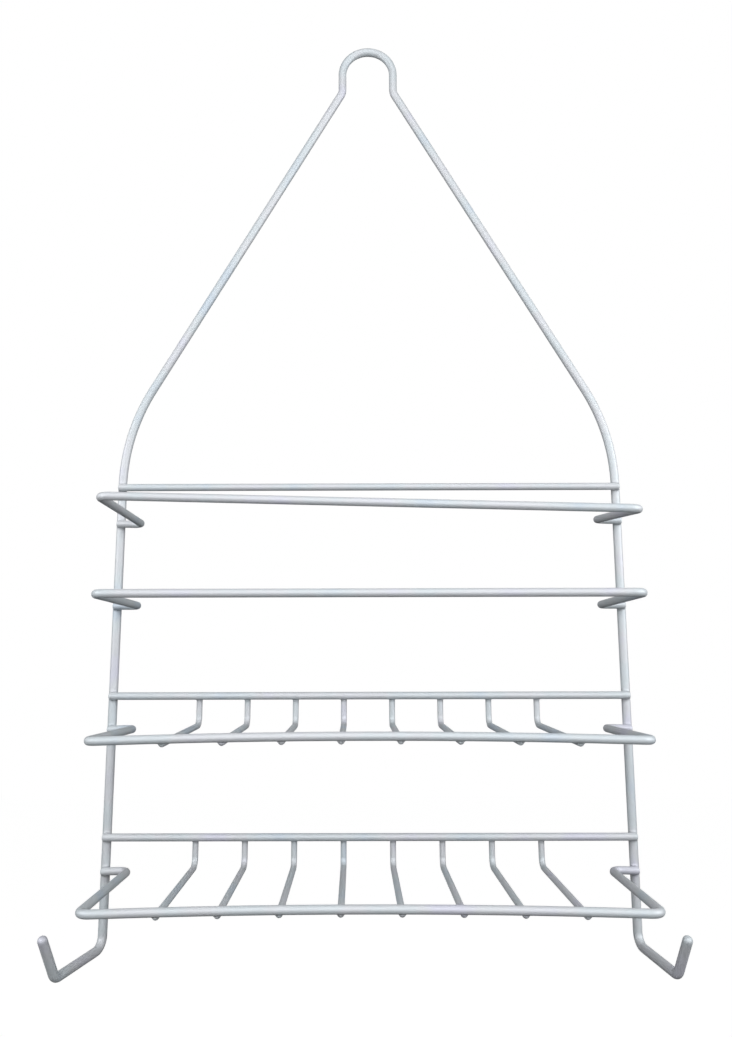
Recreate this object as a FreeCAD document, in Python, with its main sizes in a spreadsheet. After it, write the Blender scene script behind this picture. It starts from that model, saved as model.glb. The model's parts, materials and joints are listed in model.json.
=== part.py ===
"""Hanging shower caddy of welded, plastic-coated steel wire.

Frame of the part: +X to the right of someone who faces the caddy, +Y into the wall, +Z up.
The origin is the centre of the hanging loop's arch, where the shower arm passes through.
Every wire is a body of its own. Crossing wires are pressed into each other by a weld set,
and the wire that lands in front or below has the seat of that weld cut into it.
Lengths are in millimetres and angles in degrees. A wire's size is its coated diameter.
"""

import FreeCAD
import Part
import Sketcher
import math
import os

# ---------------------------------------------------------------- driving dimensions

DIMENSIONS = [
    # coated wires
    ("frame_wire", 4.8),
    ("rail_wire", 4.1),
    ("slat_wire", 3.2),
    ("end_rounding", 1.0),
    ("tip_flat", 0.4),
    ("end_short", 0.9),
    # how far two coated wires reach into each other at a weld, both coats included
    ("frame_weld_set", 1.1),
    ("slat_weld_set", 1.5),
    # hanging frame
    ("loop_radius", 15.6),
    ("loop_to_neck", 12.2),
    ("neck_bend", 8.0),
    ("loop_to_shoulder", 228.7),
    ("upright_spacing", 280.0),
    # hooks at the foot of the uprights
    ("rail_to_elbow", 37.35),
    ("elbow_bend", 6.5),
    ("left_hook_splay", 15.0),
    ("right_hook_splay", 9.0),
    ("left_elbow_drop", 1.5),
    ("hook_reach", 41.0),
    ("hook_fall", 2.35),
    ("hook_bend", 5.0),
    ("tip_reach", 12.6),
    ("tip_rise", 20.65),
    # levels
    ("shoulder_to_top_bar", 32.2),
    ("top_guard_below_bar", 21.2),
    ("middle_guard_below_bar", 66.85),
    ("top_bar_to_upper_rail", 132.85),
    ("upper_bar_above_rail", 17.25),
    ("shelf_spacing", 72.8),
    ("lower_bar_above_rail", 16.7),
    # rails
    ("shelf_depth", 87.0),
    ("arm_inset", 13.2),
    ("rail_bend", 5.5),
    ("top_guard_droop", 6.7),
    ("top_guard_lift", 2.0),
    ("shelf_front_radius", 3900.0),
    # slats
    ("slat_count", 8),
    ("slat_back_pitch", 26.2),
    ("slat_back_shift", -0.75),
    ("slat_front_pitch", 26.75),
    ("slat_front_shift", 0.7),
    ("slat_bend", 5.0),
    ("slat_above_bar", 1.0),
    ("slat_short_of_rail", 0.5),
    ("slat_back_rise", 3.75),
]

doc = FreeCAD.newDocument("ShowerCaddy")
dims = doc.addObject("Spreadsheet::Sheet", "Dims")
for row, (alias, value) in enumerate(DIMENSIONS, start=1):
    dims.set(f"A{row}", alias)
    dims.set(f"B{row}", str(value))
    dims.setAlias(f"B{row}", alias)
doc.recompute()

# Sizes and places that several wires share, as expressions on the sheet.
FRAME_RADIUS = "Dims.frame_wire / 2"
RAIL_RADIUS = "Dims.rail_wire / 2"
SLAT_RADIUS = "Dims.slat_wire / 2"
HALF_SPACING = "Dims.upright_spacing / 2"
HALF_ARMS = "(Dims.upright_spacing / 2 - Dims.arm_inset)"
SHOULDER_Z = "(-Dims.loop_to_shoulder)"
TOP_BAR_Z = f"({SHOULDER_Z} - Dims.shoulder_to_top_bar)"
TOP_GUARD_Z = f"({TOP_BAR_Z} - Dims.top_guard_below_bar)"
MIDDLE_GUARD_Z = f"({TOP_BAR_Z} - Dims.middle_guard_below_bar)"
UPPER_RAIL_Z = f"({TOP_BAR_Z} - Dims.top_bar_to_upper_rail)"
UPPER_BAR_Z = f"({UPPER_RAIL_Z} + Dims.upper_bar_above_rail)"
LOWER_RAIL_Z = f"({UPPER_RAIL_Z} - Dims.shelf_spacing)"
LOWER_BAR_Z = f"({LOWER_RAIL_Z} + Dims.lower_bar_above_rail)"
ELBOW_Z = f"({LOWER_RAIL_Z} - Dims.rail_to_elbow)"
# The sides slope from the neck to the shoulder. The shoulder's bend is as large as it can be
# while the uprights stay straight where the top bar lies across them.
SIDE_RUN = f"({HALF_SPACING} - Dims.loop_radius)"
SIDE_SLOPE = f"atan({SIDE_RUN} / (Dims.loop_to_shoulder - Dims.loop_to_neck))"
SHOULDER_BEND = f"(Dims.shoulder_to_top_bar - {RAIL_RADIUS}) / tan({SIDE_SLOPE} / 2)"
# The front run of a shelf rail is a shallow arch, level at its middle and lower at the corners.
# It ends one bend's radius short of a corner's bend, and its level is its corners' level.
ARCH_END_X = f"({HALF_ARMS} - 2 * Dims.rail_bend)"
ARCH_SLOPE = f"asin({ARCH_END_X} / Dims.shelf_front_radius)"
ARCH_END_Z = f"(2 * Dims.rail_bend * tan({ARCH_SLOPE}))"
ARCH_CENTRE_Z = f"({ARCH_END_Z} - Dims.shelf_front_radius * cos({ARCH_SLOPE}))"
# Bars and the rails' turned-out ends lie on the front of the uprights, which stand at Y = 0.
BAR_Y = f"(-({FRAME_RADIUS} + {RAIL_RADIUS} - Dims.frame_weld_set))"
# Slats hang behind their back bar and run forward under their front rail.
SLAT_STACK = f"({RAIL_RADIUS} + {SLAT_RADIUS} - Dims.slat_weld_set)"
SLAT_Y = f"({BAR_Y} + {SLAT_STACK})"
# Bars' and rails' ends stop a little short of the uprights' outer sides.
PAST_UPRIGHT = f"({FRAME_RADIUS} - Dims.end_short)"

NODES = []
VOLUME_TOLERANCE = 1e-3


# ---------------------------------------------------------------- helpers


def number(expression):
    """The value of an expression on the sheet, as a plain number."""
    value = dims.evalExpression(expression)
    return float(getattr(value, "Value", value))


def new_body(label):
    """An empty body whose label is the name of the part's node."""
    body = doc.addObject("PartDesign::Body", label)
    body.Label = label
    NODES.append(body)
    return body


def origin_item(body, role):
    """One of the body's own origin planes or axes, by its role."""
    return [item for item in body.Origin.OriginFeatures if item.Role == role][0]


def new_sketch(body, name, plane):
    """A sketch on one of the body's own origin planes: XY_Plane, XZ_Plane or YZ_Plane."""
    sketch = body.newObject("Sketcher::SketchObject", name)
    sketch.AttachmentSupport = [(origin_item(body, plane), "")]
    sketch.MapMode = "FlatFace"
    return sketch


def offset(sketch, x="0", y="0", z="0", pitch="0", roll="0"):
    """Moves a sketch off its plane and turns it about the plane's own Y, then its own X."""
    for axis, expression in zip("xyz", (x, y, z)):
        sketch.setExpression(f"AttachmentOffset.Base.{axis}", expression)
    sketch.setExpression("AttachmentOffset.Rotation.Pitch", pitch)
    sketch.setExpression("AttachmentOffset.Rotation.Roll", roll)


def datum(sketch, constraint, name, expression):
    """Adds a dimension to a sketch and binds it to the sheet."""
    index = sketch.addConstraint(constraint)
    sketch.renameConstraint(index, name)
    sketch.setExpression(f"Constraints.{name}", expression)


def pin_point(sketch, geometry, end, name, x, y):
    """Dimensions one point of a sketch from the sketch's origin."""
    for kind, expression in (("DistanceX", x), ("DistanceY", y)):
        rule = Sketcher.Constraint(kind, -1, 1, geometry, end, number(expression))
        datum(sketch, rule, name + kind[-1], expression)


def add_circle(sketch, name, x, y, radius):
    """A circle whose centre and radius are bound to the sheet."""
    centre = FreeCAD.Vector(number(x), number(y), 0)
    circle = Part.Circle(centre, FreeCAD.Vector(0, 0, 1), number(radius))
    index = sketch.addGeometry(circle, False)
    datum(sketch, Sketcher.Constraint("Radius", index, number(radius)), name + "Radius", radius)
    pin_point(sketch, index, 3, name, x, y)


def round_corner(before, corner, after, radius):
    """The arc that rounds a corner, drawn anticlockwise, and its points on both runs."""
    towards_before = (before - corner).normalize()
    towards_after = (after - corner).normalize()
    half_angle = towards_before.getAngle(towards_after) / 2
    start = corner + towards_before * radius / math.tan(half_angle)
    end = corner + towards_after * radius / math.tan(half_angle)
    inward = (towards_before + towards_after).normalize()
    centre = corner + inward * radius / math.sin(half_angle)
    turns_left = towards_after.cross(towards_before).z > 0
    first, last = (start, end) if turns_left else (end, start)
    angles = [math.atan2(point.y - centre.y, point.x - centre.x) for point in (first, last)]
    circle = Part.Circle(centre, FreeCAD.Vector(0, 0, 1), radius)
    return Part.ArcOfCircle(circle, *angles), start, end, turns_left


def bent_route(sketch, corners, bends):
    """A wire's centre line: straight runs between corners, each corner rounded by a tangent arc.

    corners are pairs of expressions and bends are the radii, one for each inner corner.
    """
    points = [FreeCAD.Vector(number(x), number(y), 0) for x, y in corners]
    turns = [
        round_corner(*points[index : index + 3], number(bend))
        for index, bend in enumerate(bends)
    ]
    starts = [points[0]] + [end for arc, start, end, turns_left in turns]
    ends = [start for arc, start, end, turns_left in turns] + [points[-1]]
    runs = [
        sketch.addGeometry(Part.LineSegment(start, end), False)
        for start, end in zip(starts, ends)
    ]
    for index, (bend, (arc, start, end, turns_left)) in enumerate(zip(bends, turns)):
        turn = sketch.addGeometry(arc, False)
        near, far = (1, 2) if turns_left else (2, 1)
        sketch.addConstraint(Sketcher.Constraint("Tangent", runs[index], 2, turn, near))
        sketch.addConstraint(Sketcher.Constraint("Tangent", runs[index + 1], 1, turn, far))
        datum(sketch, Sketcher.Constraint("Radius", turn, number(bend)), f"Bend{index}", bend)
        corner = sketch.addGeometry(Part.Point(points[index + 1]), True)
        sketch.addConstraint(Sketcher.Constraint("PointOnObject", corner, 1, runs[index]))
        sketch.addConstraint(Sketcher.Constraint("PointOnObject", corner, 1, runs[index + 1]))
        pin_point(sketch, corner, 1, f"Corner{index}", *corners[index + 1])
    pin_point(sketch, runs[0], 1, "Start", *corners[0])
    pin_point(sketch, runs[-1], 2, "End", *corners[-1])


def sweep(body, name, section, route):
    """Sweeps a round section along a route and adds the wire to the body."""
    before = 0 if body.Tip is None else body.Shape.Volume
    pipe = body.newObject("PartDesign::AdditivePipe", name)
    pipe.Profile = section
    pipe.Spine = route
    doc.recompute()
    wire_area = math.pi * section.Geometry[0].Radius ** 2
    added = body.Shape.Volume - before
    if abs(added / (wire_area * route.Shape.Length) - 1) > VOLUME_TOLERANCE:
        raise RuntimeError(f"{body.Label}: {name} isn't its section times its length")


def cut_seats(body, name, sketch):
    """Cuts circles through the body, both ways from their sketch, and checks that they bite."""
    before = body.Shape.Volume
    pocket = body.newObject("PartDesign::Pocket", name)
    pocket.Profile = sketch
    pocket.Type = "ThroughAll"
    pocket.SideType = "Symmetric"
    doc.recompute()
    if not body.Shape.Volume < before:
        raise RuntimeError(f"{body.Label}: {name} cuts nothing")


def round_ends(body, name, radius):
    """Rounds the wire's two cut ends: the closed edges that bound its flat end faces."""
    tip = body.Tip
    flat_faces = [face for face in tip.Shape.Faces if face.Surface.isPlanar()]
    rims = [edge for face in flat_faces for edge in face.Edges]
    edges = [
        f"Edge{index}"
        for index, edge in enumerate(tip.Shape.Edges, start=1)
        if any(edge.isSame(rim) for rim in rims)
    ]
    fillet = body.newObject("PartDesign::Fillet", name)
    fillet.Base = (tip, edges)
    fillet.setExpression("Radius", radius)
    doc.recompute()


def place(body, x="0", z="0"):
    """Binds the body's place along X and Z to the sheet."""
    body.setExpression("Placement.Base.x", x)
    body.setExpression("Placement.Base.z", z)


# ---------------------------------------------------------------- the wires


def hanging_frame():
    """The rearmost wire: arched loop, sloping sides, uprights and a hook at each foot."""
    body = new_body("hanging_frame")
    section = new_sketch(body, "ArchSection", "XY_Plane")
    add_circle(section, "Wire", "Dims.loop_radius", "0", FRAME_RADIUS)
    arch = body.newObject("PartDesign::Revolution", "Arch")
    arch.Profile = section
    arch.ReferenceAxis = (origin_item(body, "Y_Axis"), [""])
    arch.Angle = 180
    arch.Reversed = True
    doc.recompute()
    tip_z = f"{ELBOW_Z} - Dims.hook_fall + Dims.tip_rise"
    sides = (
        ("-1", "Left", "Dims.left_hook_splay", f"({ELBOW_Z} - Dims.left_elbow_drop)"),
        ("1", "Right", "Dims.right_hook_splay", ELBOW_Z),
    )
    for side, name, splay, elbow_z in sides:
        elbow_start = f"({elbow_z} + 2 * Dims.elbow_bend)"
        section = new_sketch(body, name + "SideSection", "XY_Plane")
        add_circle(section, "Wire", f"{side} * Dims.loop_radius", "0", FRAME_RADIUS)
        route = new_sketch(body, name + "SideRoute", "XZ_Plane")
        corners = [
            (f"{side} * Dims.loop_radius", "0"),
            (f"{side} * Dims.loop_radius", "-Dims.loop_to_neck"),
            (f"{side} * {HALF_SPACING}", SHOULDER_Z),
            (f"{side} * {HALF_SPACING}", elbow_start),
        ]
        bent_route(route, corners, ["Dims.neck_bend", SHOULDER_BEND])
        sweep(body, name + "Side", section, route)
        hook_section = new_sketch(body, name + "HookSection", "XY_Plane")
        add_circle(hook_section, "Wire", f"{side} * {HALF_SPACING}", "0", FRAME_RADIUS)
        offset(hook_section, z=elbow_start)
        hook_route = new_sketch(body, name + "HookRoute", "YZ_Plane")
        offset(hook_route, z=f"{side} * {HALF_SPACING}", pitch=f"{side} * {splay}")
        corners = [
            ("0", elbow_start),
            ("0", elbow_z),
            ("-Dims.hook_reach", f"{elbow_z} - Dims.hook_fall"),
            ("-(Dims.hook_reach + Dims.tip_reach)", tip_z),
        ]
        bent_route(hook_route, corners, ["Dims.elbow_bend", "Dims.hook_bend"])
        sweep(body, name + "Hook", hook_section, hook_route)
    round_ends(body, "DomedTips", "(Dims.frame_wire - Dims.tip_flat) / 2")


def back_bar(label, level):
    """A straight wire across the front of both uprights, nearly flush with their outer sides."""
    body = new_body(label)
    section = new_sketch(body, "Section", "YZ_Plane")
    add_circle(section, "Wire", BAR_Y, "0", RAIL_RADIUS)
    pad = body.newObject("PartDesign::Pad", "Bar")
    pad.Profile = section
    pad.SideType = "Symmetric"
    pad.setExpression("Length", f"Dims.upright_spacing + 2 * {PAST_UPRIGHT}")
    doc.recompute()
    round_ends(body, "RoundedEnds", "Dims.end_rounding")
    upright_seats(body)
    place(body, z=level)


def upright_seats(body):
    """The seats that both uprights leave in a wire that is welded across them."""
    seats = new_sketch(body, "UprightSeats", "XY_Plane")
    add_circle(seats, "Left", f"-{HALF_SPACING}", "0", FRAME_RADIUS)
    add_circle(seats, "Right", HALF_SPACING, "0", FRAME_RADIUS)
    cut_seats(body, "SeatCut", seats)


def rail_half(body, name, section, start, side, out_of_start, pitch, roll):
    """One side of a rail: the rest of its front run, a corner, the arm and the turned-out end.

    start is where its section is, as offsets, and out_of_start how far the corner lies from it.
    """
    reach = f"(Dims.shelf_depth + {BAR_Y}) / cos({roll})"
    turned_out = f"({out_of_start} + (Dims.arm_inset + {PAST_UPRIGHT}) / cos({pitch}))"
    route = new_sketch(body, name + "Route", "XY_Plane")
    offset(route, **start, pitch=pitch, roll=roll)
    corners = [
        ("0", "0"),
        (f"{side} * {out_of_start}", "0"),
        (f"{side} * {out_of_start}", reach),
        (f"{side} * {turned_out}", reach),
    ]
    bent_route(route, corners, ["Dims.rail_bend", "Dims.rail_bend"])
    sweep(body, name + "Half", section, route)


def finish_rail(body, level):
    """The soft ends, the seats on the uprights and the level that every rail needs."""
    round_ends(body, "RoundedEnds", "Dims.end_rounding")
    upright_seats(body)
    place(body, z=level)


def guard_rail(label, level, droop="0", lift="0"):
    """A U of wire round the front, its ends turned out and welded to the uprights.

    It is bent as two halves that meet at the middle of the front run. droop is how far its
    right front corner hangs below the left one. The right arm slopes back up to its weld, which
    lies above the left one by lift.
    """
    body = new_body(label)
    middle = {"y": "-Dims.shelf_depth", "z": f"-({droop}) / 2"}
    front_slope = f"atan(({droop}) / (2 * {HALF_ARMS}))"
    arm_slope = f"atan(({droop} + {lift}) / (Dims.shelf_depth + {BAR_Y}))"
    section = new_sketch(body, "Section", "YZ_Plane")
    add_circle(section, "Wire", middle["y"], middle["z"], RAIL_RADIUS)
    for side, name, roll in (("-1", "Left", "0"), ("1", "Right", arm_slope)):
        rail_half(body, name, section, middle, side, HALF_ARMS, front_slope, roll)
    finish_rail(body, level)


def shelf_rail(label, level):
    """A rail whose front run is a shallow arch that the slats are welded under."""
    body = new_body(label)
    section = new_sketch(body, "ArchSection", "YZ_Plane")
    offset(section, y=ARCH_CENTRE_Z)
    add_circle(section, "Wire", "-Dims.shelf_depth", "Dims.shelf_front_radius", RAIL_RADIUS)
    arch = body.newObject("PartDesign::Revolution", "Arch")
    arch.Profile = section
    arch.ReferenceAxis = (section, ["H_Axis"])
    arch.Midplane = True
    arch.setExpression("Angle", f"2 * {ARCH_SLOPE}")
    doc.recompute()
    for side, name in (("-1", "Left"), ("1", "Right")):
        end_x = f"{side} * {ARCH_END_X}"
        slope = f"{side} * {ARCH_SLOPE}"
        section = new_sketch(body, name + "Section", "YZ_Plane")
        offset(section, "-Dims.shelf_depth", ARCH_END_Z, end_x, roll=slope)
        add_circle(section, "Wire", "0", "0", RAIL_RADIUS)
        start = {"x": end_x, "y": "-Dims.shelf_depth", "z": ARCH_END_Z}
        to_corner = f"(2 * Dims.rail_bend / cos({ARCH_SLOPE}))"
        rail_half(body, name, section, start, side, to_corner, slope, "0")
    finish_rail(body, level)


def slat(label, back_x, front_x, rail_level, bar_above_rail):
    """An L of thin wire: down behind the back bar, then forward under the front rail.

    It crosses its bar at back_x and its rail at front_x, so it leans a little to one side.
    """
    body = new_body(label)
    top = f"({bar_above_rail} + Dims.slat_above_bar)"
    run = f"(Dims.shelf_depth - Dims.slat_short_of_rail + {SLAT_Y})"
    aside = f"(({front_x}) - ({back_x}))"
    lean = f"atan({aside} / {run})"
    rail_slope = f"asin(({front_x}) / Dims.shelf_front_radius)"
    rail_z = f"({ARCH_CENTRE_Z} + Dims.shelf_front_radius * cos({rail_slope}))"
    section = new_sketch(body, "Section", "XY_Plane")
    add_circle(section, "Wire", "0", SLAT_Y, SLAT_RADIUS)
    offset(section, z=top)
    route = new_sketch(body, "Route", "YZ_Plane")
    offset(route, SLAT_Y, pitch=lean)
    corners = [
        ("0", top),
        ("0", f"Dims.slat_back_rise - {SLAT_STACK}"),
        (f"-{run} / cos({lean})", f"{rail_z} - {SLAT_STACK}"),
    ]
    bent_route(route, corners, ["Dims.slat_bend"])
    sweep(body, "Wire", section, route)
    round_ends(body, "RoundedEnds", "Dims.end_rounding")
    bar_seat = new_sketch(body, "BarSeat", "YZ_Plane")
    add_circle(bar_seat, "Bar", BAR_Y, bar_above_rail, RAIL_RADIUS)
    cut_seats(body, "BarSeatCut", bar_seat)
    rail_seat = new_sketch(body, "RailSeat", "YZ_Plane")
    offset(rail_seat, "-Dims.shelf_depth", rail_z, aside, roll=rail_slope)
    add_circle(rail_seat, "Rail", "0", "0", RAIL_RADIUS)
    cut_seats(body, "RailSeatCut", rail_seat)
    place(body, x=back_x, z=rail_level)


hanging_frame()
back_bar("top_back_bar", TOP_BAR_Z)
back_bar("upper_shelf_bar", UPPER_BAR_Z)
back_bar("lower_shelf_bar", LOWER_BAR_Z)
guard_rail("top_guard_rail", TOP_GUARD_Z, "Dims.top_guard_droop", "Dims.top_guard_lift")
guard_rail("middle_guard_rail", MIDDLE_GUARD_Z)
shelf_rail("upper_shelf_rail", UPPER_RAIL_Z)
shelf_rail("lower_shelf_rail", LOWER_RAIL_Z)
for count in range(int(number("Dims.slat_count"))):
    place_in_row = f"({count} - (Dims.slat_count - 1) / 2)"
    crossings = (
        f"{place_in_row} * Dims.slat_back_pitch + Dims.slat_back_shift",
        f"{place_in_row} * Dims.slat_front_pitch + Dims.slat_front_shift",
    )
    slat(f"upper_slat_{count + 1}", *crossings, UPPER_RAIL_Z, "Dims.upper_bar_above_rail")
    slat(f"lower_slat_{count + 1}", *crossings, LOWER_RAIL_Z, "Dims.lower_bar_above_rail")

# ---------------------------------------------------------------- checks and files

doc.recompute()
for item in doc.Objects:
    if "Invalid" in item.State or "Error" in item.State:
        raise RuntimeError(f"{item.Label} failed: {item.State}")
for body in NODES:
    shape = body.Shape
    if shape.isNull() or not shape.isValid() or len(shape.Solids) != 1:
        raise RuntimeError(f"{body.Label} is not one valid solid")

os.makedirs("parts", exist_ok=True)
for body in NODES:
    body.Shape.exportStep(f"parts/{body.Label}.step")
    print(f"{body.Label}: {body.Shape.Volume:.1f} mm3")
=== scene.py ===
# %% [markdown]
# # A hanging shower caddy of coated wire
#
# The real caddy is made of twenty-four steel wires. They are bent, laid across each other, welded
# at every crossing and then dipped as one, so that a satin silver-grey plastic coating runs over
# wires and welds alike. Three things give that away to the eye: the wires are evenly round, their
# ends are soft, and each crossing is filled by a small fillet of coating.
#
# The CAD model holds the sizes. This lesson reads them from it and builds every wire again with a
# smooth skin, the fillets and the coating. A wire could also be a plain bevelled curve, but then
# the wires would run through each other at every weld with a hard crease between them.

# %% The frame
import json
import math

import bpy
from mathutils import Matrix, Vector


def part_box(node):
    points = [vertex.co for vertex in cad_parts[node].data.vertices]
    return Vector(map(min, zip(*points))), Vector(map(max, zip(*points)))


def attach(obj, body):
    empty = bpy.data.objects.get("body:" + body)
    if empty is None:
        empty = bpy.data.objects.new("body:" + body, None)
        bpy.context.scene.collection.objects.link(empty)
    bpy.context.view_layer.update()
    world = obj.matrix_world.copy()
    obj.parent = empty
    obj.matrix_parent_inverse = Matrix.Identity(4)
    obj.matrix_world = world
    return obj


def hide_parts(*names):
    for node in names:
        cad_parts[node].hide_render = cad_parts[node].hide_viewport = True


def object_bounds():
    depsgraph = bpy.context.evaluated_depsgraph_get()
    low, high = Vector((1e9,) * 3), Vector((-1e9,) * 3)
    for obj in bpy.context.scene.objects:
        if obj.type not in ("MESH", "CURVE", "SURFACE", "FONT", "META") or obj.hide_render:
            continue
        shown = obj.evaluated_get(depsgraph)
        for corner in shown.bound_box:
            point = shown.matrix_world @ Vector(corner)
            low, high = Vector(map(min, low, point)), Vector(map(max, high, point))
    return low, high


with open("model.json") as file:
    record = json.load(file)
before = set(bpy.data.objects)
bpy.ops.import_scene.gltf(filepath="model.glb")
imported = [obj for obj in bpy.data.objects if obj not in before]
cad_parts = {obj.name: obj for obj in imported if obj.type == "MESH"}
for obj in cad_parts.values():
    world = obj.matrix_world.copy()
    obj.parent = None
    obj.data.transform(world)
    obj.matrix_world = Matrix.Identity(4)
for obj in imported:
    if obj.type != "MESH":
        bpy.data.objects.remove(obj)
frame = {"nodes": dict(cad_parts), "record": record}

cad_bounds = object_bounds()
print("CAD box:", [[round(1000 * side, 1) for side in corner] for corner in cad_bounds], "mm")

# %% [markdown]
# ## Measuring the wires
#
# A box round each CAD node is enough to find most sizes. A straight bar's box is as high as its
# wire is thick, the hanging loop's arch is centred on the origin, and the back of the frame wire
# is one radius behind it. Bends, slopes and the depth of a weld don't show in a box, so those are
# named here. All could be typed in, but sizes that are read from the model can't drift from it.

# %% Sizes from the frame
MM = 0.001
NECK_BEND = 8.0 * MM
LOOP_TO_NECK = 12.2 * MM
SHOULDER_ABOVE_BAR = 32.2 * MM
ELBOW_BEND = 6.5 * MM
HOOK_BEND = 5.0 * MM
HOOK_REACH = 41.0 * MM
HOOK_FALL = 2.35 * MM
TIP_REACH = 12.6 * MM
RAIL_BEND = 5.5 * MM
SLAT_BEND = 5.0 * MM
SHELF_FRONT_RADIUS = 3900.0 * MM
TOP_GUARD_DROOP = 6.7 * MM
TOP_GUARD_LIFT = 2.0 * MM
SLAT_BACK_RISE = 3.75 * MM
SLAT_WELD_SET = 1.5 * MM
END_ROUNDING = 1.0 * MM
TIP_FLAT = 0.4 * MM
END_SHORT = 0.9 * MM
BARS = ("top_back_bar", "upper_shelf_bar", "lower_shelf_bar")
RAILS = ("top_guard_rail", "middle_guard_rail", "upper_shelf_rail", "lower_shelf_rail")
SLATS = tuple(sorted(name for name in frame["nodes"] if "_slat_" in name))
print("bars:", len(BARS), " rails:", len(RAILS), " slats:", len(SLATS))

# %% [markdown]
# A bar ends just short of the upright's outer side, and from that the upright's own centre line
# is found. A slat leans, so its two ends differ in X and the box round the whole slat is no help
# there: its ends are measured one at a time, from the points that lie near them.

# %% Radii and places
frame_low, frame_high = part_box("hanging_frame")
bar_low, bar_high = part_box("top_back_bar")
FRAME_RADIUS = frame_high.y
RAIL_RADIUS = (bar_high.z - bar_low.z) / 2
LOOP_RADIUS = frame_high.z - FRAME_RADIUS
UPRIGHT_X = bar_high.x - FRAME_RADIUS + END_SHORT
BAR_Y = bar_low.y + RAIL_RADIUS
SHOULDER_Z = (bar_low.z + bar_high.z) / 2 + SHOULDER_ABOVE_BAR


def span(name, axis, keep):
    """The lowest and highest X, Y or Z of a node's points that a test keeps."""
    points = [vertex.co for vertex in frame["nodes"][name].data.vertices]
    values = [getattr(point, axis) for point in points if keep(point)]
    return min(values), max(values)


def slat_across(name):
    """Where a slat crosses its bar and its rail, and its radius, from its back and front ends."""
    low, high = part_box(name)
    left, right = span(name, "x", lambda point: point.z > high.z - 2 * END_ROUNDING)
    front = low.y + 2 * END_ROUNDING
    front_left, front_right = span(name, "x", lambda point: point.y < front)
    return (left + right) / 2, (front_left + front_right) / 2, (right - left) / 2


SLAT_RADIUS = slat_across(SLATS[0])[2]
radii = {"frame": FRAME_RADIUS, "rail": RAIL_RADIUS, "slat": SLAT_RADIUS}
print("wire diameters:", {name: round(2000 * radius, 2) for name, radius in radii.items()}, "mm")
print("uprights:", round(2000 * UPRIGHT_X, 1), "mm apart,", len(SLATS), "slats")

# %% [markdown]
# ## Routes
#
# A bent wire is easiest to describe the way a wire bender does: straight runs between corners,
# and a bend radius at each corner. So a route here is a list of corners, each with its radius,
# and a Fillet Curve node will round them later. Bezier curves drawn by hand would be softer than
# any bent wire, which is dead straight between its bends.
#
# The frame wire is one long route. Each side starts at a hook's tip, goes down to the hook's
# bottom and back to the elbow, climbs the upright to the shoulder and leans in to the neck. The
# two sides meet over the loop.


# %% The frame wire's route
def hook_corners(side):
    """The elbow, the bottom corner and the tip of one hook, from its mount in the record."""
    name = "left_hook" if side < 0 else "right_hook"
    mount = next(item for item in frame["record"]["mounts"] if item["name"] == name)
    centre = Vector(mount["pos_m"])
    along = Vector(mount["axis"]).normalized()
    upright = Vector((side * UPRIGHT_X, 0, centre.z))
    past_bottom = ((centre - upright).xy.length - HOOK_REACH) / along.xy.length
    bottom = centre - along * past_bottom
    elbow = Vector((side * UPRIGHT_X, 0, bottom.z + HOOK_FALL))
    return elbow, bottom, bottom + along * TIP_REACH / along.xy.length


def frame_route():
    """From the left hook's tip up, round the loop and down to the right hook's tip.

    The shoulder's bend is so large that its lower end only just clears the top bar.
    """
    slope = math.atan((UPRIGHT_X - LOOP_RADIUS) / (-LOOP_TO_NECK - SHOULDER_Z))
    shoulder_bend = (SHOULDER_ABOVE_BAR - RAIL_RADIUS) / math.tan(slope / 2)
    sides = []
    for side in (-1, 1):
        elbow, bottom, tip = hook_corners(side)
        sides.append([
            (tip, 0.0),
            (bottom, HOOK_BEND),
            (elbow, ELBOW_BEND),
            (Vector((side * UPRIGHT_X, 0, SHOULDER_Z)), shoulder_bend),
            (Vector((side * LOOP_RADIUS, 0, -LOOP_TO_NECK)), NECK_BEND),
            (Vector((side * LOOP_RADIUS, 0, LOOP_RADIUS)), LOOP_RADIUS),
        ])
    return sides[0] + sides[1][::-1]


for corner, bend in frame_route():
    print([round(1000 * side, 1) for side in corner], "bend", round(1000 * bend, 1), "mm")

# %% [markdown]
# ## Bars and guard rails
#
# A back bar is a single straight run. A guard rail is a U that lies round the front, with both
# ends turned out to the uprights. The two guard rails are the same, but for the top one's right
# side, which was bent and welded a little askew; one function with two offsets makes both.


# %% Routes of the bars and guard rails
def bar_route(name):
    """A straight run from end to end of a back bar."""
    low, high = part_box(name)
    level = (low.z + high.z) / 2
    return [(Vector((x, BAR_Y, level)), 0.0) for x in (low.x, high.x)]


def arm_x(name):
    """How far out a rail's arms lie: its widest point near the front, less the wire's radius."""
    near_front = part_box(name)[0].y + 3 * RAIL_BEND
    return span(name, "x", lambda point: point.y < near_front)[1] - RAIL_RADIUS


def arm_level(name):
    """The level of a rail's left arm, half-way between its highest and lowest points.

    Only points between its two bends count, because the front run and the end lie askew.
    """
    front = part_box(name)[0].y + 2 * RAIL_BEND
    back = BAR_Y - 0.9 * RAIL_BEND
    low, high = span(name, "z", lambda point: point.x < 0 and front < point.y < back)
    return (low + high) / 2


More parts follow.
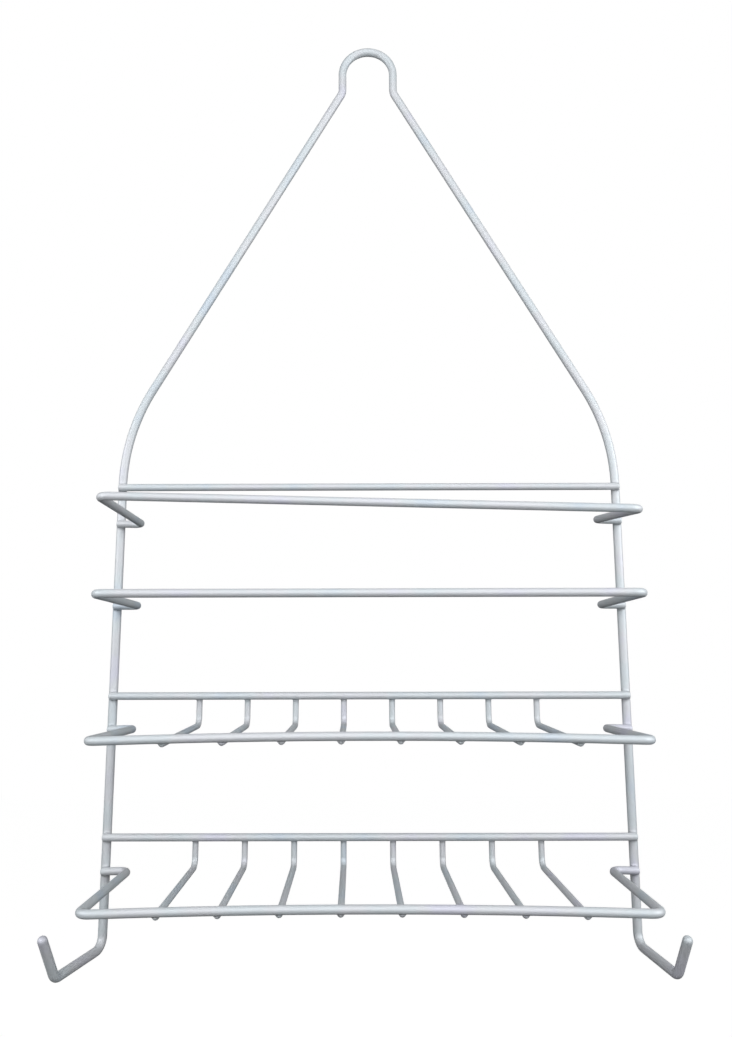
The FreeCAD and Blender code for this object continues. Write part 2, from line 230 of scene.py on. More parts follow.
def guard_route(name):
    """Round the front from one upright to the other.

    On the top guard the right corner hangs lower than the left one and the right weld is higher.
    """
    low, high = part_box(name)
    front = low.y + RAIL_RADIUS
    arm = arm_x(name)
    level = arm_level(name)
    is_top = name == "top_guard_rail"
    droop, lift = (TOP_GUARD_DROOP, TOP_GUARD_LIFT) if is_top else (0.0, 0.0)
    slope = droop / (2 * arm)
    return [
        (Vector((low.x, BAR_Y, level - slope * (low.x + arm))), 0.0),
        (Vector((-arm, BAR_Y, level)), RAIL_BEND),
        (Vector((-arm, front, level)), RAIL_BEND),
        (Vector((arm, front, level - droop)), RAIL_BEND),
        (Vector((arm, BAR_Y, level + lift)), RAIL_BEND),
        (Vector((high.x, BAR_Y, level + lift - slope * (high.x - arm))), 0.0),
    ]


for name in RAILS:
    print(name, "arms at", round(1000 * arm_x(name), 1), "level", round(1000 * arm_level(name), 1))

# %% [markdown]
# ## Shelf rails and slats
#
# A shelf rail is the same U, but its front run rises a little in the middle. Two slopes that meet
# in one very large bend make that arch without any extra points. A slat is an L: it hangs behind
# its bar, bends forward and runs under the arched rail, so its front end follows the arch.


# %% Routes of the shelf rails and slats
def shelf_front(name):
    """A shelf rail's arch: its slope at the corners, the corners' level and its own top."""
    arm = arm_x(name)
    slope = math.asin((arm - 2 * RAIL_BEND) / SHELF_FRONT_RADIUS)
    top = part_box(name)[1].z - RAIL_RADIUS
    rise = SHELF_FRONT_RADIUS * (1 - math.cos(slope)) + 2 * RAIL_BEND * math.tan(slope)
    return slope, top - rise, top


def shelf_route(name):
    """A rail whose front run is a shallow arch: two slopes with one very large bend between."""
    low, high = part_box(name)
    front = low.y + RAIL_RADIUS
    arm = arm_x(name)
    slope, level, top = shelf_front(name)
    end_level = level - (high.x - arm) * math.tan(slope)
    return [
        (Vector((low.x, BAR_Y, end_level)), 0.0),
        (Vector((-arm, BAR_Y, level)), RAIL_BEND),
        (Vector((-arm, front, level)), RAIL_BEND),
        (Vector((0, front, level + arm * math.tan(slope))), SHELF_FRONT_RADIUS),
        (Vector((arm, front, level)), RAIL_BEND),
        (Vector((arm, BAR_Y, level)), RAIL_BEND),
        (Vector((high.x, BAR_Y, end_level)), 0.0),
    ]


def slat_route(name):
    """Down behind the back bar, then forward under the front rail."""
    low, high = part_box(name)
    back_x, front_x, radius = slat_across(name)
    back = high.y - radius
    slope, level, top = shelf_front(name.split("_")[0] + "_shelf_rail")
    under_rail = RAIL_RADIUS + SLAT_RADIUS - SLAT_WELD_SET
    rail_drop = SHELF_FRONT_RADIUS - math.sqrt(SHELF_FRONT_RADIUS**2 - front_x**2)
    return [
        (Vector((back_x, back, high.z)), 0.0),
        (Vector((back_x, back, level + SLAT_BACK_RISE - under_rail)), SLAT_BEND),
        (Vector((front_x, low.y, top - rail_drop - under_rail)), 0.0),
    ]


TIP_ROUNDING = FRAME_RADIUS - TIP_FLAT / 2
GUARD_RAILS, SHELF_RAILS = RAILS[:2], RAILS[2:]
WIRES = {"hanging_frame": ("frame", frame_route(), TIP_ROUNDING)}
WIRES.update({name: ("rail", bar_route(name), END_ROUNDING) for name in BARS})
WIRES.update({name: ("rail", guard_route(name), END_ROUNDING) for name in GUARD_RAILS})
WIRES.update({name: ("rail", shelf_route(name), END_ROUNDING) for name in SHELF_RAILS})
WIRES.update({name: ("slat", slat_route(name), END_ROUNDING) for name in SLATS})
print(len(WIRES), "routes; corners in each:", sorted({len(wire[1]) for wire in WIRES.values()}))

# %% [markdown]
# ## Writing node trees as formulas
#
# The skin of a wire is a formula: how far a point lies from its own wire, how far from the next,
# and how much coating fills the corner between. A tree of Math nodes is hard to read and easy to
# get wrong, so this small class lets the formula be written with plus, minus and times signs.
# Each sign adds one Math node, and the result is the same tree that one would link by hand.


# %% Fields
class Field:
    """A number in a node tree. Arithmetic on it adds the Math nodes that work it out."""

    def __init__(self, tree, socket):
        self.tree = tree
        self.socket = socket

    def math(self, operation, *others):
        node = self.tree.nodes.new("ShaderNodeMath")
        node.operation = operation
        for socket, value in zip(node.inputs, (self, *others)):
            connect(self.tree, value, socket)
        return Field(self.tree, node.outputs[0])

    def __add__(self, other):
        return self.math("ADD", other)

    def __sub__(self, other):
        return self.math("SUBTRACT", other)

    def __mul__(self, other):
        return self.math("MULTIPLY", other)

    def __truediv__(self, other):
        return self.math("DIVIDE", other)

    def __neg__(self):
        return self.math("MULTIPLY", -1.0)

    def at_least(self, other):
        return self.math("MAXIMUM", other)

    def at_most(self, other):
        return self.math("MINIMUM", other)

    def below(self, other):
        return self.math("LESS_THAN", other)

    def smooth_step(self, start, end):
        """0 below start, 1 above end, and an even curve between."""
        node = self.tree.nodes.new("ShaderNodeMapRange")
        node.interpolation_type = "SMOOTHSTEP"
        for socket, value in zip(node.inputs, (self, start, end, 0.0, 1.0)):
            connect(self.tree, value, socket)
        return Field(self.tree, node.outputs[0])


print("a Field knows:", [name for name in vars(Field) if not name.startswith("__")])

# %% [markdown]
# Every node is added in the same way: by its type, with its options and its inputs by name. A
# few helpers do that, so that the trees below read as lists of what goes in.


# %% Adding nodes
def connect(tree, value, socket):
    """Links a field or a socket to an input, or writes a plain value into it."""
    if isinstance(value, Field):
        value = value.socket
    if isinstance(value, bpy.types.NodeSocket):
        tree.links.new(value, socket)
    else:
        socket.default_value = value


def add_node(tree, kind, inputs=None, **settings):
    """Adds a node, sets its options, then fills its inputs by their names."""
    node = tree.nodes.new(kind)
    for name, value in settings.items():
        setattr(node, name, value)
    for name, value in (inputs or {}).items():
        connect(tree, value, node.inputs[name])
    return node


def vector_math(tree, operation, first, second=None, scale=None):
    """A Vector Math node's result: a vector, or a number for a dot product."""
    node = tree.nodes.new("ShaderNodeVectorMath")
    node.operation = operation
    connect(tree, first, node.inputs[0])
    if second is not None:
        connect(tree, second, node.inputs[1])
    if scale is not None:
        connect(tree, scale, node.inputs["Scale"])
    if operation == "DOT_PRODUCT":
        return Field(tree, node.outputs["Value"])
    return node.outputs["Vector"]


def new_tree(name, inputs):
    """An empty geometry tree with named inputs, each a (name, socket type, value) row.

    Returns the tree and its input sockets by name. The first input is always the route.
    """
    tree = bpy.data.node_groups.new(name, "GeometryNodeTree")
    for label, kind, value in [("Route", "Geometry", None), *inputs]:
        kind = "NodeSocket" + kind
        socket = tree.interface.new_socket(label, in_out="INPUT", socket_type=kind)
        if value is not None:
            socket.default_value = value
    tree.interface.new_socket("Skin", in_out="OUTPUT", socket_type="NodeSocketGeometry")
    entry = tree.nodes.new("NodeGroupInput")
    return tree, {socket.name: socket for socket in entry.outputs if socket.name}


def finish_tree(tree, geometry):
    """Sends a geometry to the tree's output."""
    tree.links.new(geometry, tree.nodes.new("NodeGroupOutput").inputs[0])
    print(tree.name, "tree:", len(tree.nodes), "nodes")


# %% [markdown]
# ## Bending a route
#
# Both trees of this lesson start alike: they turn the route's bare edges into a curve and round
# its corners. Each corner carries its bend radius in an attribute, so one Fillet Curve node can
# give the tight hooks and the wide shoulders each their own bend.

# %% Rounded route
POINTS_ON_A_BEND = 28


def rounded_route(tree, route):
    """Turns the route's edges into a curve and rounds each corner by its own bend radius."""
    curve = add_node(tree, "GeometryNodeMeshToCurve", {"Mesh": route})
    bend = add_node(tree, "GeometryNodeInputNamedAttribute", {"Name": "bend"}, data_type="FLOAT")
    rounded = add_node(
        tree,
        "GeometryNodeFilletCurve",
        {"Curve": curve.outputs[0], "Count": POINTS_ON_A_BEND, "Radius": bend.outputs[0]},
        mode="POLY",
    )
    return rounded.outputs[0]


print("a bend is cut into", POINTS_ON_A_BEND, "short straights")

# %% [markdown]
# ## Centre lines that other wires can feel
#
# To fill the corner at a crossing, a wire has to know how far each point of its skin is from the
# wire that it crosses. The Geometry Proximity node measures that to a line, so each kind of wire
# gets one mesh of bare edges: the centre lines of all wires of that kind. They stop one radius
# short of the wires' ends, because the distance to a line's end is measured to a round cap.
# Measuring to the neighbours' finished skins would be slower and no better: a wire is round.

# %% Centre line tree
line_tree, sockets = new_tree("centre_line", [("Short Of Ends", "Float", 0.0)])
whole_line = rounded_route(line_tree, sockets["Route"])
line_length = add_node(line_tree, "GeometryNodeCurveLength", {"Curve": whole_line})
from_end = Field(line_tree, line_length.outputs[0]) - sockets["Short Of Ends"]
trimmed = add_node(line_tree, "GeometryNodeTrimCurve", {"Curve": whole_line}, mode="LENGTH")
# Start and End come twice on this node, as shares and then as lengths.
start_length, end_length = trimmed.inputs[4], trimmed.inputs[5]
connect(line_tree, sockets["Short Of Ends"], start_length)
connect(line_tree, from_end, end_length)
edges = add_node(line_tree, "GeometryNodeCurveToMesh", {"Curve": trimmed.outputs[0]})
finish_tree(line_tree, edges.outputs[0])

# %% [markdown]
# A tree runs as a modifier on an object. The object starts as its route, the tree grows it, and
# the result is kept as a plain mesh: a modifier that stayed would be evaluated over and over.


# %% From a route to a mesh
def route_object(name, corners):
    """A mesh of straight edges through a route's corners, which keep their bend radii."""
    points = [point for point, bend in corners]
    edges = [(start, start + 1) for start in range(len(points) - 1)]
    mesh = bpy.data.meshes.new(name)
    mesh.from_pydata(points, edges, [])
    bends = mesh.attributes.new("bend", "FLOAT", "POINT")
    bends.data.foreach_set("value", [bend for point, bend in corners])
    made = bpy.data.objects.new(name, mesh)
    bpy.context.scene.collection.objects.link(made)
    return made


def grow(made, tree, **values):
    """Runs a tree on an object and keeps the result as the object's own plain mesh.

    The tree's inputs are given by their names, in lower case and with underscores.
    """
    modifier = made.modifiers.new(tree.name, "NODES")
    modifier.node_group = tree
    for item in tree.interface.items_tree:
        key = item.name.lower().replace(" ", "_")
        if item.in_out == "INPUT" and key in values:
            modifier[item.identifier] = values[key]
    bpy.context.view_layer.update()
    evaluated = made.evaluated_get(bpy.context.evaluated_depsgraph_get())
    mesh = bpy.data.meshes.new_from_object(evaluated)
    made.modifiers.clear()
    made.data = mesh
    return made


def centre_lines(kind):
    """One object with the centre lines of every wire of a kind."""
    points, edges = [], []
    for name, (wire_kind, corners, rounding) in WIRES.items():
        if wire_kind == kind:
            line = route_object(name + "_line", corners)
            grow(line, line_tree, short_of_ends=radii[kind])
            start = len(points)
            points += [vertex.co.copy() for vertex in line.data.vertices]
            edges += [tuple(start + index for index in edge.vertices) for edge in line.data.edges]
            bpy.data.objects.remove(line)
    mesh = bpy.data.meshes.new(kind + "_lines")
    mesh.from_pydata(points, edges, [])
    made = bpy.data.objects.new(mesh.name, mesh)
    bpy.context.scene.collection.objects.link(made)
    return made


lines = {kind: centre_lines(kind) for kind in radii}
print("centre lines:", {kind: len(made.data.edges) for kind, made in lines.items()}, "edges")

# %% [markdown]
# ## The coated wire
#
# One tree makes every wire. It walks along the rounded route in small steps, closer together at
# the soft ends, and leaves out the steps that a straight, lonely stretch doesn't need. Then it
# sweeps a circle along them. Its inputs are the sizes that differ from wire to wire, and the
# centre lines of the two other kinds of wire, which are the only ones that a wire ever crosses.

# %% Inputs of the coated wire
STEP = 0.25 * MM
FILLET = 1.6 * MM

wire_tree, wire_inputs = new_tree(
    "coated_wire",
    [
        ("Wire Radius", "Float", 0.002),
        ("End Rounding", "Float", END_ROUNDING),
        ("Segments", "Int", 40),
        ("Step", "Float", STEP),
        ("Fillet", "Float", FILLET),
        ("First Neighbours", "Object", None),
        ("First Radius", "Float", 0.002),
        ("Second Neighbours", "Object", None),
        ("Second Radius", "Float", 0.002),
        ("Unevenness", "Float", 0.0),
        ("Seed", "Float", 0.0),
        ("Coating", "Material", None),
    ],
)


def given(name):
    """An input of the tree as a field."""
    return Field(wire_tree, wire_inputs[name])


def neighbour_lines(which):
    """The centre lines in the first or second object of neighbours."""
    lines_object = wire_inputs[which + " Neighbours"]
    info = add_node(wire_tree, "GeometryNodeObjectInfo", {"Object": lines_object})
    return info.outputs["Geometry"]


neighbours = [(neighbour_lines(which), given(which + " Radius")) for which in ("First", "Second")]
radius = given("Wire Radius")
rounding = given("End Rounding")
fillet = given("Fillet")
print("inputs:", ", ".join(wire_inputs))

# %% [markdown]
# ## Steps along the wire
#
# The soft end is a quarter circle, so its steps follow the angle round it: the depth of a step
# below the tip goes with the cosine and the ring's radius with the sine. Between the two soft
# ends the steps are even. Even steps alone would cut the quarter circle into a crude cone.

# %% Steps and their sizes
END_RINGS = 7

route = rounded_route(wire_tree, wire_inputs["Route"])
length = Field(wire_tree, add_node(wire_tree, "GeometryNodeCurveLength", {"Curve": route}).outputs[0])
count = (length / given("Step")).math("CEIL")
straight = add_node(wire_tree, "GeometryNodeCurvePrimitiveLine")
points = add_node(
    wire_tree,
    "GeometryNodeResampleCurve",
    {"Curve": straight.outputs[0], "Count": count},
    mode="COUNT",
)
index = Field(wire_tree, add_node(wire_tree, "GeometryNodeInputIndex").outputs[0])
from_last = count - 1.0 - index


def end_angle(steps_from_end):
    """How far round its soft end a step is: a quarter turn from END_RINGS steps on."""
    return steps_from_end.at_most(float(END_RINGS)) * (math.pi / 2 / END_RINGS)


def end_depth(steps_from_end):
    """How far below the tip a step lies."""
    return rounding * (-end_angle(steps_from_end).math("COSINE") + 1.0)


middle_share = (index - float(END_RINGS)) / (count - 1.0 - 2.0 * END_RINGS)
middle = middle_share.at_least(0.0).at_most(1.0) * (length - rounding * 2.0)
place = end_depth(index) + middle + rounding - end_depth(from_last)
nearest_end = index.at_most(from_last)
size = radius - rounding + rounding * end_angle(nearest_end).math("SINE")

on_route = add_node(
    wire_tree, "GeometryNodeSampleCurve", {"Curves": route, "Length": place}, mode="LENGTH"
)
laid = add_node(
    wire_tree,
    "GeometryNodeSetPosition",
    {"Geometry": points.outputs[0], "Position": on_route.outputs["Position"]},
)
sized = add_node(
    wire_tree,
    "GeometryNodeSetCurveRadius",
    {"Curve": laid.outputs[0], "Radius": size / radius},
)

# %% [markdown]
# A step is kept if it is at a soft end, in a bend, or near enough to another wire to carry some
# of the coating's fillet. Of the rest only every seventh stays.


# %% Leaving out steps
STEPS_ON_A_STRAIGHT = 7
STRAIGHT_ENOUGH = 0.99995
NEAR_IN_FILLETS = 1.5


def to_neighbour(line, position=None):
    """Geometry Proximity from a point, or from where the point is now, to a mesh of edges."""
    node = wire_tree.nodes.new("GeometryNodeProximity")
    node.target_element = "EDGES"
    connect(wire_tree, line, node.inputs[0])
    if position is not None:
        connect(wire_tree, position, node.inputs["Sample Position"])
    return node


tangent = add_node(wire_tree, "GeometryNodeInputTangent").outputs[0]
beside = [
    add_node(
        wire_tree,
        "GeometryNodeFieldAtIndex",
        {"Value": tangent, "Index": index + step},
        data_type="FLOAT_VECTOR",
        domain="POINT",
    ).outputs[0]
    for step in (-1.0, 1.0)
]
in_a_bend = vector_math(wire_tree, "DOT_PRODUCT", *beside).below(STRAIGHT_ENOUGH)
at_an_end = nearest_end.below(END_RINGS + 2.0)
in_the_count = index.math("MODULO", float(STEPS_ON_A_STRAIGHT)).below(0.5)
kept = in_a_bend.at_least(at_an_end).at_least(in_the_count)
for line, line_radius in neighbours:
    distance = Field(wire_tree, to_neighbour(line).outputs["Distance"])
    kept = kept.at_least(distance.below(radius + line_radius + fillet * NEAR_IN_FILLETS))
thinned = add_node(
    wire_tree,
    "GeometryNodeDeleteGeometry",
    {"Geometry": sized.outputs[0], "Selection": kept.below(0.5)},
    domain="POINT",
)

# %% [markdown]
# The circle is as wide as the wire, and each step's own radius scales it: full size along the
# wire and smaller round the soft ends. The last ring at each end is closed by a flat cap.

# %% Sweeping the circle
section = add_node(
    wire_tree,
    "GeometryNodeCurvePrimitiveCircle",
    {"Resolution": wire_inputs["Segments"], "Radius": radius},
    mode="RADIUS",
)
curve_radius = add_node(wire_tree, "GeometryNodeInputRadius").outputs[0]
tube = add_node(
    wire_tree,
    "GeometryNodeCurveToMesh",
    {
        "Curve": thinned.outputs[0],
        "Profile Curve": section.outputs[0],
        "Scale": curve_radius,
        "Fill Caps": True,
    },
)
print("bare wire:", len(wire_tree.nodes), "nodes so far")

# %% [markdown]
# ## Fillets of coating at the crossings
#
# Liquid coating fills a corner, so near a crossing the skin lies neither on one wire nor on the
# other but on a smooth blend of the two. The smooth minimum of two distances is such a blend: it
# equals the smaller one where they differ by more than the fillet's size and dips below both
# where they are alike, and the skin is where it is zero.
#
# Each point starts on its own bare wire and moves out along its own normal. A few rounds of
# "move out by as much as the blend lies below zero" settle it on the blended skin. The wire that
# crosses it settles on the same skin, so the two meet without a crease. A Boolean union with a
# bevel would do this too, but it makes one fused mesh, and here each wire stays its own piece.

# %% Where each point starts
captured = wire_tree.nodes.new("GeometryNodeCaptureAttribute")
captured.domain = "POINT"
for name in ("bare_place", "outward"):
    captured.capture_items.new("VECTOR", name)
connect(wire_tree, tube.outputs[0], captured.inputs["Geometry"])
position = add_node(wire_tree, "GeometryNodeInputPosition").outputs[0]
normal = add_node(wire_tree, "GeometryNodeInputNormal").outputs[0]
connect(wire_tree, position, captured.inputs["bare_place"])
connect(wire_tree, normal, captured.inputs["outward"])
bare_place, outward = captured.outputs["bare_place"], captured.outputs["outward"]


def lifted(height):
    """The place of a point that has moved out from the bare wire by a height."""
    moved = vector_math(wire_tree, "SCALE", outward, scale=height)
    return vector_math(wire_tree, "ADD", bare_place, moved)


# %% The blend of two skins
SMALLEST_BLEND = 0.01 * MM


def neighbour_gap(line, line_radius, place_now):
    """The distance to a neighbour's bare skin, and the size of fillet that fits there.

    Two skins that face the same way, as at a bar's end beside an upright's side, get no fillet.
    """
    near = to_neighbour(line, place_now)
    away = vector_math(wire_tree, "SUBTRACT", place_now, near.outputs["Position"])
    away = vector_math(wire_tree, "NORMALIZE", away)
    alike = vector_math(wire_tree, "DOT_PRODUCT", away, outward).at_least(0.0)
    gap = Field(wire_tree, near.outputs["Distance"]) - line_radius
    return gap, fillet * (-alike + 1.0) + SMALLEST_BLEND


def smooth_minimum(first, second, blend):
    """The smaller of two distances, rounded off where they differ by less than the blend."""
    difference = (first - second).math("ABSOLUTE")
    overlap = (blend - difference).at_least(0.0)
    return first.at_most(second) - overlap * overlap / (blend * 4.0)


# %% [markdown]
# The height of the coating starts at nothing and settles round by round. A point that lies well
# inside the neighbour is hidden there, so it goes back to the bare wire: that keeps the buried
# skin from bulging out on the neighbour's far side.

# %% Settling on the blended skin
SETTLING_ROUNDS = 5
DEEP_INSIDE = -0.3
JUST_INSIDE = -0.05

height = radius * 0.0
for settling in range(SETTLING_ROUNDS):
    blended = height
    for line, line_radius in neighbours:
        gap, blend = neighbour_gap(line, line_radius, lifted(height))
        blended = smooth_minimum(blended, gap, blend)
    height = (height - blended).at_least(0.0).at_most(fillet)

outside = None
for line, line_radius in neighbours:
    gap, blend = neighbour_gap(line, line_radius, lifted(height))
    own_side = (gap - height).smooth_step(fillet * DEEP_INSIDE, fillet * JUST_INSIDE)
    outside = own_side if outside is None else outside * own_side
height = height * outside
print("with fillets:", len(wire_tree.nodes), "nodes so far")

# %% [markdown]
# ## An uneven coat
#
# A dipped coat is never quite even. Slow noise thins it by a few hundredths of a millimetre here
# and there, which is enough to make a highlight waver. Noise that swelled the coat as well would
# make the wires thicker than in CAD. The tree ends in a smooth, real mesh with the coating on it.

# %% Uneven coat and finished tree
UNEVEN_SIZE = 9.0 * MM
noise = add_node(
    wire_tree,
    "ShaderNodeTexNoise",
    {"Vector": bare_place, "W": wire_inputs["Seed"], "Scale": 1 / UNEVEN_SIZE, "Detail": 1.0},
    noise_dimensions="4D",
)
thinning = Field(wire_tree, noise.outputs[0]) * wire_inputs["Unevenness"]
skin = add_node(
    wire_tree,
    "GeometryNodeSetPosition",
    {"Geometry": captured.outputs["Geometry"], "Position": lifted(height - thinning)},
)
smooth = add_node(wire_tree, "GeometryNodeSetShadeSmooth", {"Geometry": skin.outputs[0]})
real = add_node(wire_tree, "GeometryNodeRealizeInstances", {"Geometry": smooth.outputs[0]})
painted = add_node(
    wire_tree,
    "GeometryNodeSetMaterial",
    {"Geometry": real.outputs[0], "Material": wire_inputs["Coating"]},
)
finish_tree(wire_tree, painted.outputs[0])

# %% [markdown]
# ## The coating's finish
#
# The coating is a satin plastic with fine silver pigment in it. A fully metallic shader would
# turn it into bare steel and a plain grey one into chalk, so it is mostly plastic with a fifth of
# metal, rough enough that its highlight is a broad soft band along the wire.
#
# Three marks each get their own noise: clouds a few centimetres long, where the grey takes blue,
# lilac or green tints that are painted reflection; an orange peel from the dip, about a millimetre
# across, that barely ripples the light; and a fine grain that varies the gloss and paints pale dots
# of sparkle, painted glints of light, into the colour. All three are faint, because from a
# step away the coating looks even.

# %% Coating's colour
CLOUD_SIZE = 34.0 * MM
GRAIN_AND_SPARKLE_SIZE = 0.28 * MM
# How much, and from where in the grain, the colour takes painted sparkle: pale dots that stand for
# glints of light.
SPARKLE_SHARE = 0.04
SPARKLE_STARTS = 0.35
SPARKLE_FULL = 0.75
# The pale colour of the painted sparkle.
SPARKLE_COLOUR = (0.80, 0.81, 0.82, 1.0)
METAL = 0.2
SHINE = 0.3
# The coating's own greys, with blue, lilac and green tints that are painted reflection.
GREYS_AND_REFLECTION_TINTS = (
    (0.30, (0.475, 0.540, 0.605, 1.0)),
    (0.45, (0.525, 0.570, 0.600, 1.0)),
    (0.55, (0.550, 0.570, 0.600, 1.0)),
    (0.70, (0.540, 0.550, 0.630, 1.0)),
)
coating = bpy.data.materials.new("silver_coating")
coating.use_nodes = True
paint_tree = coating.node_tree
shader = paint_tree.nodes["Principled BSDF"]
shader.inputs["Metallic"].default_value = METAL
shader.inputs["Specular IOR Level"].default_value = SHINE
where = add_node(paint_tree, "ShaderNodeTexCoord").outputs["Object"]


def paint_noise(size, detail):
    """Noise with blobs of a given size, from 0 to 1 and mostly near a half."""
    node = add_node(
        paint_tree, "ShaderNodeTexNoise", {"Vector": where, "Scale": 1 / size, "Detail": detail}
    )
    return Field(paint_tree, node.outputs[0])


# Slow clouds blend the coating's grey with the painted reflection tints.
cloud = add_node(paint_tree, "ShaderNodeValToRGB", {"Fac": paint_noise(CLOUD_SIZE, 3.0)})
ramp = cloud.color_ramp
ramp.interpolation = "EASE"
while len(ramp.elements) < len(GREYS_AND_REFLECTION_TINTS):
    ramp.elements.new(0.5)
for element, (place_on_ramp, colour) in zip(ramp.elements, GREYS_AND_REFLECTION_TINTS):
    element.position = place_on_ramp
    element.color = colour
# The fine grain varies the roughness and also paints pale dots into the colour, which are painted
# glints of light.
grain_and_sparkle = paint_noise(GRAIN_AND_SPARKLE_SIZE, 2.0)
painted_sparkle = add_node(
    paint_tree,
    "ShaderNodeMix",
    {"Factor": grain_and_sparkle.smooth_step(SPARKLE_STARTS, SPARKLE_FULL) * SPARKLE_SHARE},
    data_type="RGBA",
)
# The Mix node has sockets for each type of data; these are the ones for colours.
first_colour, second_colour = painted_sparkle.inputs[6], painted_sparkle.inputs[7]
mixed_colour = painted_sparkle.outputs[2]
connect(paint_tree, cloud.outputs["Color"], first_colour)
connect(paint_tree, SPARKLE_COLOUR, second_colour)
connect(paint_tree, mixed_colour, shader.inputs["Base Color"])
print("clouds:", len(ramp.elements), "colours")

# %% Coating's gloss and skin
PEEL_SIZE = 1.5 * MM
PEEL_DEPTH = 0.012 * MM
PEEL_STRENGTH = 0.15
ROUGHNESS = 0.44
PEEL_ROUGHNESS = 0.05
GRAIN_ROUGHNESS = 0.03

peel = paint_noise(PEEL_SIZE, 1.0)
satin = peel * PEEL_ROUGHNESS + grain_and_sparkle * GRAIN_ROUGHNESS + ROUGHNESS
connect(paint_tree, satin, shader.inputs["Roughness"])
rough_skin = add_node(
    paint_tree,
    "ShaderNodeBump",
    {"Height": peel, "Strength": PEEL_STRENGTH, "Distance": PEEL_DEPTH},
)
connect(paint_tree, rough_skin.outputs[0], shader.inputs["Normal"])
print("silver_coating:", len(paint_tree.nodes), "nodes")

# %% [markdown]
# ## Growing the wires
#
# Every wire now grows from its own route, takes the place of its CAD node and is told which body
# it belongs to. They are all one body, because the welds hold them fast. The thicker a wire is,
# the more sides its circle gets, so that all wires look equally round.

# %% Growing the wires
UNEVENNESS = 0.04 * MM
SEGMENTS = {"frame": 44, "rail": 40, "slat": 32}
NEIGHBOURS = {"frame": ("rail", "slat"), "rail": ("frame", "slat"), "slat": ("rail", "frame")}
for seed, (name, (kind, corners, end_rounding)) in enumerate(WIRES.items()):
    first, second = NEIGHBOURS[kind]
    wire = grow(
        route_object(name + "_wire", corners),
        wire_tree,
        wire_radius=radii[kind],
        end_rounding=end_rounding,
        segments=SEGMENTS[kind],
        step=STEP,
        fillet=FILLET,
        first_neighbours=lines[first],
        first_radius=radii[first],
        second_neighbours=lines[second],
        second_radius=radii[second],
        unevenness=UNEVENNESS,
        seed=float(seed),
        coating=coating,
    )
    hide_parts(name)
    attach(wire, "root")
    print(name, len(wire.data.polygons), "faces")
for line in lines.values():
    bpy.data.objects.remove(line)

# %% [markdown]
# ## The studio
#
# The caddy hangs over a plain pale floor, in front of nothing. White surroundings would light the
# wires from every side and leave them flat, so only the camera sees the white. For every other
# ray the floor is a dark grey, and the room is dim and brighter in front than behind.

# %% Floor
FLOOR_DROP = 0.62
FLOOR_HALF_SIZE = 5.0
FLOOR_GREY = (0.25, 0.25, 0.25, 1)
FLOOR_ROUGHNESS = 0.9
FLOOR_SEEN = 0.95
WHITE = (1, 1, 1, 1)
middle_of_caddy = (cad_bounds[0] + cad_bounds[1]) / 2


def seen_by_camera(tree):
    """1 for what the camera sees itself, and 0 for light and reflections."""
    return Field(tree, add_node(tree, "ShaderNodeLightPath").outputs["Is Camera Ray"])


floor_mesh = bpy.data.meshes.new("floor")
floor_level = cad_bounds[0].z - FLOOR_DROP
corners = ((-1, -1), (1, -1), (1, 1), (-1, 1))
rim = [(x * FLOOR_HALF_SIZE, y * FLOOR_HALF_SIZE, floor_level) for x, y in corners]
floor_mesh.from_pydata(rim, [], [(0, 1, 2, 3)])
floor = bpy.data.objects.new("floor", floor_mesh)
bpy.context.scene.collection.objects.link(floor)
pale = bpy.data.materials.new("pale_floor")
pale.use_nodes = True
floor_shader = pale.node_tree.nodes["Principled BSDF"]
floor_shader.inputs["Base Color"].default_value = FLOOR_GREY
floor_shader.inputs["Roughness"].default_value = FLOOR_ROUGHNESS
floor_shader.inputs["Emission Color"].default_value = WHITE
glow = seen_by_camera(pale.node_tree) * FLOOR_SEEN
connect(pale.node_tree, glow, floor_shader.inputs["Emission Strength"])
floor_mesh.materials.append(pale)
print("floor at", round(floor_level, 3), "m")

# %% Room
ROOM_BEHIND = 0.05
ROOM_IN_FRONT = 0.46
FRONT_STARTS = -0.2
FRONT_FULL = 1.0

room = bpy.data.worlds.new("studio")
bpy.context.scene.world = room
room.use_nodes = True
room_tree = room.node_tree
direction = add_node(room_tree, "ShaderNodeTexCoord").outputs["Generated"]
axes = add_node(room_tree, "ShaderNodeSeparateXYZ", {"Vector": direction}).outputs
in_front = -Field(room_tree, axes["Y"])
dim = in_front.smooth_step(FRONT_STARTS, FRONT_FULL) * ROOM_IN_FRONT + ROOM_BEHIND
camera_ray = seen_by_camera(room_tree)
backdrop = camera_ray + dim * (-camera_ray + 1.0)
background = room_tree.nodes["Background"]
connect(room_tree, backdrop, background.inputs["Strength"])
background.inputs["Color"].default_value = WHITE
print("room light:", ROOM_BEHIND, "behind,", round(ROOM_BEHIND + ROOM_IN_FRONT, 2), "in front")

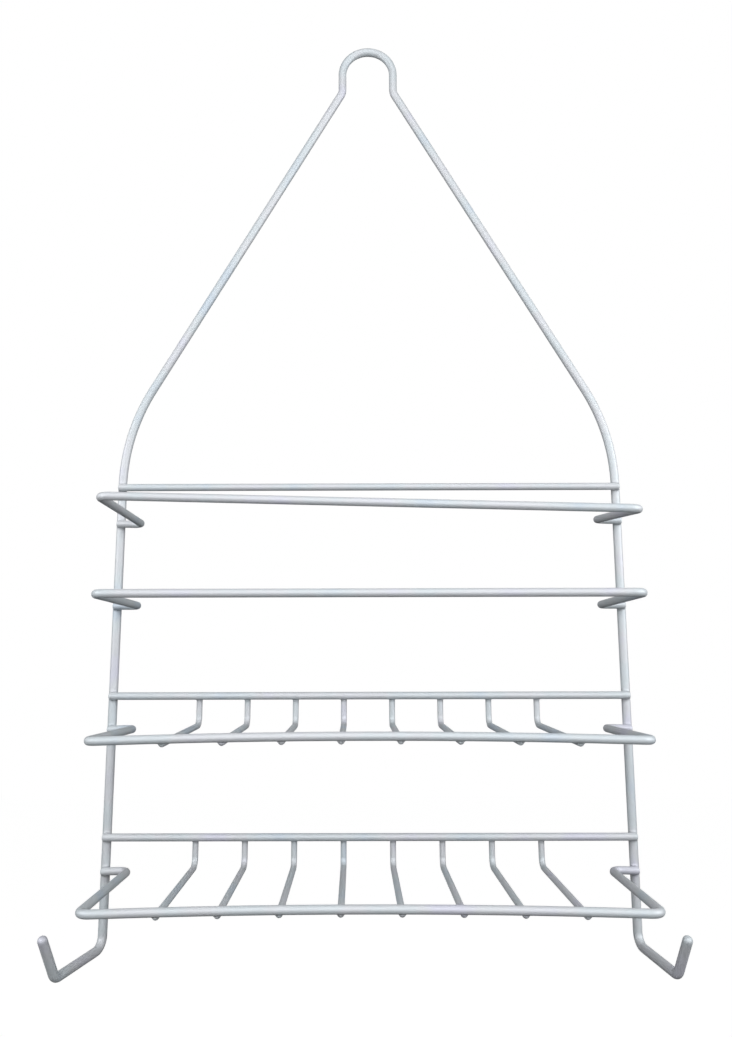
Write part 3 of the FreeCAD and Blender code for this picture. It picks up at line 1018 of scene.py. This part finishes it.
# %% [markdown]
# ## Light
#
# Four soft boxes do the lighting. The front one lays a broad band along every bar and rail, the
# high one lifts the loop and the sloping sides, and the two at the sides reach the rails' arms,
# which turn their faces away from the front. The right one is a little stronger, so the two
# sides of the caddy don't shade alike.

# %% Soft boxes
BOXES = {
    "front": ((0.0, -0.52, 0.06), 0.6, 1.95),
    "high": ((0.0, -0.45, 0.60), 0.5, 1.1),
    "left": ((-0.60, -0.25, 0.10), 0.5, 2.6),
    "right": ((0.60, -0.25, 0.10), 0.5, 3.4),
}


def soft_box(name, place, size, power):
    """A square area light that faces the middle of the caddy."""
    light = bpy.data.lights.new(name, "AREA")
    light.size = size
    light.energy = power
    made = bpy.data.objects.new(name, light)
    made.location = middle_of_caddy + Vector(place)
    made.rotation_euler = Vector(place).to_track_quat("Z", "Y").to_euler()
    bpy.context.scene.collection.objects.link(made)


for name, (place, size, power) in BOXES.items():
    soft_box(name, place, size, power)
    print("soft box", name, power, "W")

# %% [markdown]
# ## Camera
#
# The camera stands half a metre in front, level with the basket, and looks slightly up with a
# wide lens. So close by, the shelves are seen from above and the top guard rail from below.

# %% Camera
LENS = 30.41
SENSOR_WIDTH = 36
NEAREST_SEEN = 0.01
CAMERA_PLACE = (-0.0003, -0.4883, -0.3617)
LOOKS_UP = 0.16899
ROLL = 0.00215
TURN = 0.00305

camera_data = bpy.data.cameras.new("camera")
camera_data.lens = LENS
camera_data.sensor_width = SENSOR_WIDTH
camera_data.clip_start = NEAREST_SEEN
camera = bpy.data.objects.new("camera", camera_data)
camera.location = CAMERA_PLACE
camera.rotation_euler = (math.radians(90) + LOOKS_UP, ROLL, TURN)
bpy.context.scene.collection.objects.link(camera)
bpy.context.scene.camera = camera
bpy.context.scene.view_settings.view_transform = "Standard"
print("camera looks up by", round(math.degrees(LOOKS_UP), 1), "degrees")

# %% [markdown]
# ## Sizes
#
# The coating only ever thins, so the finished caddy is a few hundredths of a millimetre smaller
# on each side than the CAD model's box.
